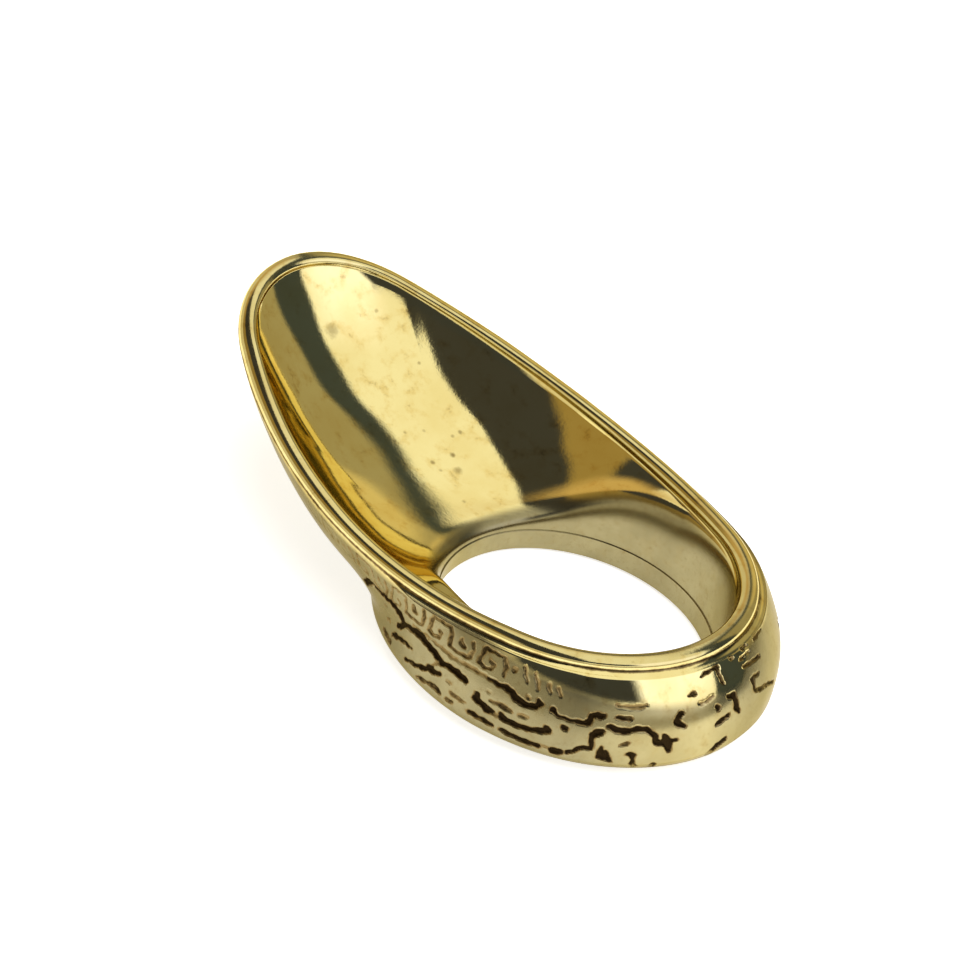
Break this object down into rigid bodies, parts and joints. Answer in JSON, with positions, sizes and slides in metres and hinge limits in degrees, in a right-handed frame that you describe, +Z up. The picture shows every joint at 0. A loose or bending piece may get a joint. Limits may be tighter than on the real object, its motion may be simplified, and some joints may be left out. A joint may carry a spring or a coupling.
{
  "type": "archer's thumb ring",
  "caption": "One-piece brass archer's thumb ring: round band with a bored hole and a long spoon-shaped lip with a rounded rim, its outside carved with a fret row and cloud scrolls.",
  "frame": {"origin": "on the axis of the thumb hole, at the level of the band's lower edge that the ring rests on", "axes": "+Z up along the hole's axis, +X towards the tip of the lip, +Y across the ring"},
  "size_m": [0.0499, 0.031, 0.0129],
  "materials": {
    "brass": "polished, with dark patina in the sunk ornament"
  },
  "bodies": {
    "root": {"thumb_ring": "brass"}
  },
  "joints": []
}
